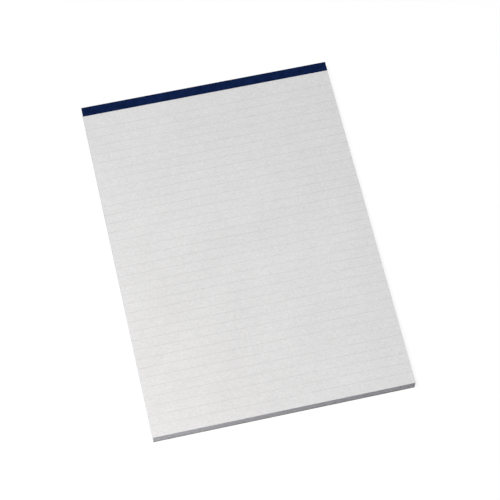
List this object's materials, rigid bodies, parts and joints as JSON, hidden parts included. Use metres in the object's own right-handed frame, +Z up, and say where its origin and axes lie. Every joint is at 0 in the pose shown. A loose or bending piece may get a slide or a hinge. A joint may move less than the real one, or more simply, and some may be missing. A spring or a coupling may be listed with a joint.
{
  "type": "legal pad",
  "caption": "Head-bound writing pad: a trimmed block of white ruled A4 sheets on a grey backing board, glued along the head under a folded navy binding tape.",
  "frame": {"origin": "on the surface that the pad lies on, under the middle of its outline", "axes": "+X across the page to the reader's right, +Y up the page to the bound head, +Z up out of the ruled face"},
  "size_m": [0.21, 0.2976, 0.0105],
  "materials": {
    "writing_paper": "uncoated, matt, pale grey ruling",
    "greyboard": "unlined recycled grey board",
    "binding_glue": "dried flexible padding glue",
    "binding_tape": "navy binding tape, low sheen"
  },
  "bodies": {
    "root": {"ruled_sheets": "writing_paper", "backing_board": "greyboard", "head_glue": "binding_glue", "binding_tape": "binding_tape"}
  },
  "joints": []
}
